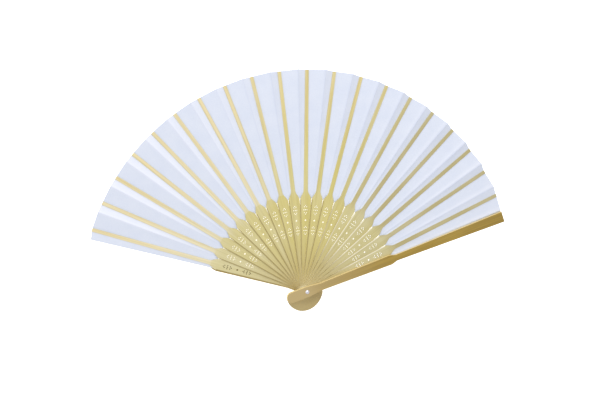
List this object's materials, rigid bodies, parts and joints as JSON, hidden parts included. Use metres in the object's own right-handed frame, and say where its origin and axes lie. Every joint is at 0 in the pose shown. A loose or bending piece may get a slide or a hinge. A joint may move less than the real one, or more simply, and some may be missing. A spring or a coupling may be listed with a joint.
{
  "type": "folding hand fan",
  "caption": "Folding hand fan of thin bamboo sticks turning on one rivet, with a pleated white paper leaf glued between two thicker guards.",
  "frame": {"origin": "on the rivet's axis, at the outer face of the back guard, where the clenched tail of the rivet is flush", "axes": "+Z along the rivet from the back guard to the front guard, +Y from the rivet to the middle of the open leaf, +X to the front guard's side"},
  "size_m": [0.3679, 0.2127, 0.0219],
  "materials": {
    "rib_bamboo": "smooth split bamboo, faint straight grain, satin",
    "guard_bamboo": "darker golden bamboo, satin varnish",
    "leaf_paper": "cool white paper, matt, crisp pleats",
    "rivet_steel": "bright plated rivet"
  },
  "bodies": {
    "back_guard": {"back_guard": "guard_bamboo", "rivet_pin": "rivet_steel", "rivet_washer": "rivet_steel", "leaf_pleat_01": "leaf_paper"},
    "rib_01": {"rib_01": "rib_bamboo"},
    "rib_02": {"rib_02": "rib_bamboo", "leaf_pleat_02": "leaf_paper"},
    "rib_03": {"rib_03": "rib_bamboo", "leaf_pleat_03": "leaf_paper"},
    "rib_04": {"rib_04": "rib_bamboo", "leaf_pleat_04": "leaf_paper"},
    "rib_05": {"rib_05": "rib_bamboo", "leaf_pleat_05": "leaf_paper"},
    "rib_06": {"rib_06": "rib_bamboo", "leaf_pleat_06": "leaf_paper"},
    "rib_07": {"rib_07": "rib_bamboo", "leaf_pleat_07": "leaf_paper"},
    "rib_08": {"rib_08": "rib_bamboo", "leaf_pleat_08": "leaf_paper"},
    "rib_09": {"rib_09": "rib_bamboo", "leaf_pleat_09": "leaf_paper"},
    "rib_10": {"rib_10": "rib_bamboo", "leaf_pleat_10": "leaf_paper"},
    "rib_11": {"rib_11": "rib_bamboo", "leaf_pleat_11": "leaf_paper"},
    "rib_12": {"rib_12": "rib_bamboo", "leaf_pleat_12": "leaf_paper"},
    "rib_13": {"rib_13": "rib_bamboo", "leaf_pleat_13": "leaf_paper"},
    "rib_14": {"rib_14": "rib_bamboo", "leaf_pleat_14": "leaf_paper"},
    "rib_15": {"rib_15": "rib_bamboo", "leaf_pleat_15": "leaf_paper"},
    "rib_16": {"rib_16": "rib_bamboo", "leaf_pleat_16": "leaf_paper"},
    "rib_17": {"rib_17": "rib_bamboo", "leaf_pleat_17": "leaf_paper"},
    "rib_18": {"rib_18": "rib_bamboo", "leaf_pleat_18": "leaf_paper"},
    "rib_19": {"rib_19": "rib_bamboo", "leaf_pleat_19": "leaf_paper"},
    "rib_20": {"rib_20": "rib_bamboo", "leaf_pleat_20": "leaf_paper"},
    "front_guard": {"front_guard": "guard_bamboo", "leaf_pleat_21": "leaf_paper"}
  },
  "joints": [
    {"name": "rib_01_pivot", "type": "hinge", "parent": "back_guard", "child": "rib_01", "pos_m": [0, 0, 0], "axis": [0, 0, 1], "range_deg": [0, 1.1], "deforming": ["leaf_pleat_01"]},
    {"name": "rib_02_pivot", "type": "hinge", "parent": "rib_01", "child": "rib_02", "pos_m": [0, 0, 0], "axis": [0, 0, 1], "range_deg": [0, 7.25], "deforming": ["leaf_pleat_02"]},
    {"name": "rib_03_pivot", "type": "hinge", "parent": "rib_02", "child": "rib_03", "pos_m": [0, 0, 0], "axis": [0, 0, 1], "range_deg": [0, 7.25], "deforming": ["leaf_pleat_03"]},
    {"name": "rib_04_pivot", "type": "hinge", "parent": "rib_03", "child": "rib_04", "pos_m": [0, 0, 0], "axis": [0, 0, 1], "range_deg": [0, 7.25], "deforming": ["leaf_pleat_04"]},
    {"name": "rib_05_pivot", "type": "hinge", "parent": "rib_04", "child": "rib_05", "pos_m": [0, 0, 0], "axis": [0, 0, 1], "range_deg": [0, 7.25], "deforming": ["leaf_pleat_05"]},
    {"name": "rib_06_pivot", "type": "hinge", "parent": "rib_05", "child": "rib_06", "pos_m": [0, 0, 0], "axis": [0, 0, 1], "range_deg": [0, 7.25], "deforming": ["leaf_pleat_06"]},
    {"name": "rib_07_pivot", "type": "hinge", "parent": "rib_06", "child": "rib_07", "pos_m": [0, 0, 0], "axis": [0, 0, 1], "range_deg": [0, 7.25], "deforming": ["leaf_pleat_07"]},
    {"name": "rib_08_pivot", "type": "hinge", "parent": "rib_07", "child": "rib_08", "pos_m": [0, 0, 0], "axis": [0, 0, 1], "range_deg": [0, 7.25], "deforming": ["leaf_pleat_08"]},
    {"name": "rib_09_pivot", "type": "hinge", "parent": "rib_08", "child": "rib_09", "pos_m": [0, 0, 0], "axis": [0, 0, 1], "range_deg": [0, 7.25], "deforming": ["leaf_pleat_09"]},
    {"name": "rib_10_pivot", "type": "hinge", "parent": "rib_09", "child": "rib_10", "pos_m": [0, 0, 0], "axis": [0, 0, 1], "range_deg": [0, 7.25], "deforming": ["leaf_pleat_10"]},
    {"name": "rib_11_pivot", "type": "hinge", "parent": "rib_10", "child": "rib_11", "pos_m": [0, 0, 0], "axis": [0, 0, 1], "range_deg": [0, 7.25], "deforming": ["leaf_pleat_11"]},
    {"name": "rib_12_pivot", "type": "hinge", "parent": "rib_11", "child": "rib_12", "pos_m": [0, 0, 0], "axis": [0, 0, 1], "range_deg": [0, 7.25], "deforming": ["leaf_pleat_12"]},
    {"name": "rib_13_pivot", "type": "hinge", "parent": "rib_12", "child": "rib_13", "pos_m": [0, 0, 0], "axis": [0, 0, 1], "range_deg": [0, 7.25], "deforming": ["leaf_pleat_13"]},
    {"name": "rib_14_pivot", "type": "hinge", "parent": "rib_13", "child": "rib_14", "pos_m": [0, 0, 0], "axis": [0, 0, 1], "range_deg": [0, 7.25], "deforming": ["leaf_pleat_14"]},
    {"name": "rib_15_pivot", "type": "hinge", "parent": "rib_14", "child": "rib_15", "pos_m": [0, 0, 0], "axis": [0, 0, 1], "range_deg": [0, 7.25], "deforming": ["leaf_pleat_15"]},
    {"name": "rib_16_pivot", "type": "hinge", "parent": "rib_15", "child": "rib_16", "pos_m": [0, 0, 0], "axis": [0, 0, 1], "range_deg": [0, 7.25], "deforming": ["leaf_pleat_16"]},
    {"name": "rib_17_pivot", "type": "hinge", "parent": "rib_16", "child": "rib_17", "pos_m": [0, 0, 0], "axis": [0, 0, 1], "range_deg": [0, 7.25], "deforming": ["leaf_pleat_17"]},
    {"name": "rib_18_pivot", "type": "hinge", "parent": "rib_17", "child": "rib_18", "pos_m": [0, 0, 0], "axis": [0, 0, 1], "range_deg": [0, 7.25], "deforming": ["leaf_pleat_18"]},
    {"name": "rib_19_pivot", "type": "hinge", "parent": "rib_18", "child": "rib_19", "pos_m": [0, 0, 0], "axis": [0, 0, 1], "range_deg": [0, 7.25], "deforming": ["leaf_pleat_19"]},
    {"name": "rib_20_pivot", "type": "hinge", "parent": "rib_19", "child": "rib_20", "pos_m": [0, 0, 0], "axis": [0, 0, 1], "range_deg": [0, 7.25], "deforming": ["leaf_pleat_20"]},
    {"name": "front_guard_pivot", "type": "hinge", "parent": "rib_20", "child": "front_guard", "pos_m": [0, 0, 0], "axis": [0, 0, 1], "range_deg": [0, 6], "deforming": ["leaf_pleat_21"]}
  ],
  "couplings": [
    {"joint": "rib_01_pivot", "follows": "rib_02_pivot", "ratio": 0.15172},
    {"joint": "rib_03_pivot", "follows": "rib_02_pivot", "ratio": 1},
    {"joint": "rib_04_pivot", "follows": "rib_02_pivot", "ratio": 1},
    {"joint": "rib_05_pivot", "follows": "rib_02_pivot", "ratio": 1},
    {"joint": "rib_06_pivot", "follows": "rib_02_pivot", "ratio": 1},
    {"joint": "rib_07_pivot", "follows": "rib_02_pivot", "ratio": 1},
    {"joint": "rib_08_pivot", "follows": "rib_02_pivot", "ratio": 1},
    {"joint": "rib_09_pivot", "follows": "rib_02_pivot", "ratio": 1},
    {"joint": "rib_10_pivot", "follows": "rib_02_pivot", "ratio": 1},
    {"joint": "rib_11_pivot", "follows": "rib_02_pivot", "ratio": 1},
    {"joint": "rib_12_pivot", "follows": "rib_02_pivot", "ratio": 1},
    {"joint": "rib_13_pivot", "follows": "rib_02_pivot", "ratio": 1},
    {"joint": "rib_14_pivot", "follows": "rib_02_pivot", "ratio": 1},
    {"joint": "rib_15_pivot", "follows": "rib_02_pivot", "ratio": 1},
    {"joint": "rib_16_pivot", "follows": "rib_02_pivot", "ratio": 1},
    {"joint": "rib_17_pivot", "follows": "rib_02_pivot", "ratio": 1},
    {"joint": "rib_18_pivot", "follows": "rib_02_pivot", "ratio": 1},
    {"joint": "rib_19_pivot", "follows": "rib_02_pivot", "ratio": 1},
    {"joint": "rib_20_pivot", "follows": "rib_02_pivot", "ratio": 1},
    {"joint": "front_guard_pivot", "follows": "rib_02_pivot", "ratio": 0.82759}
  ]
}
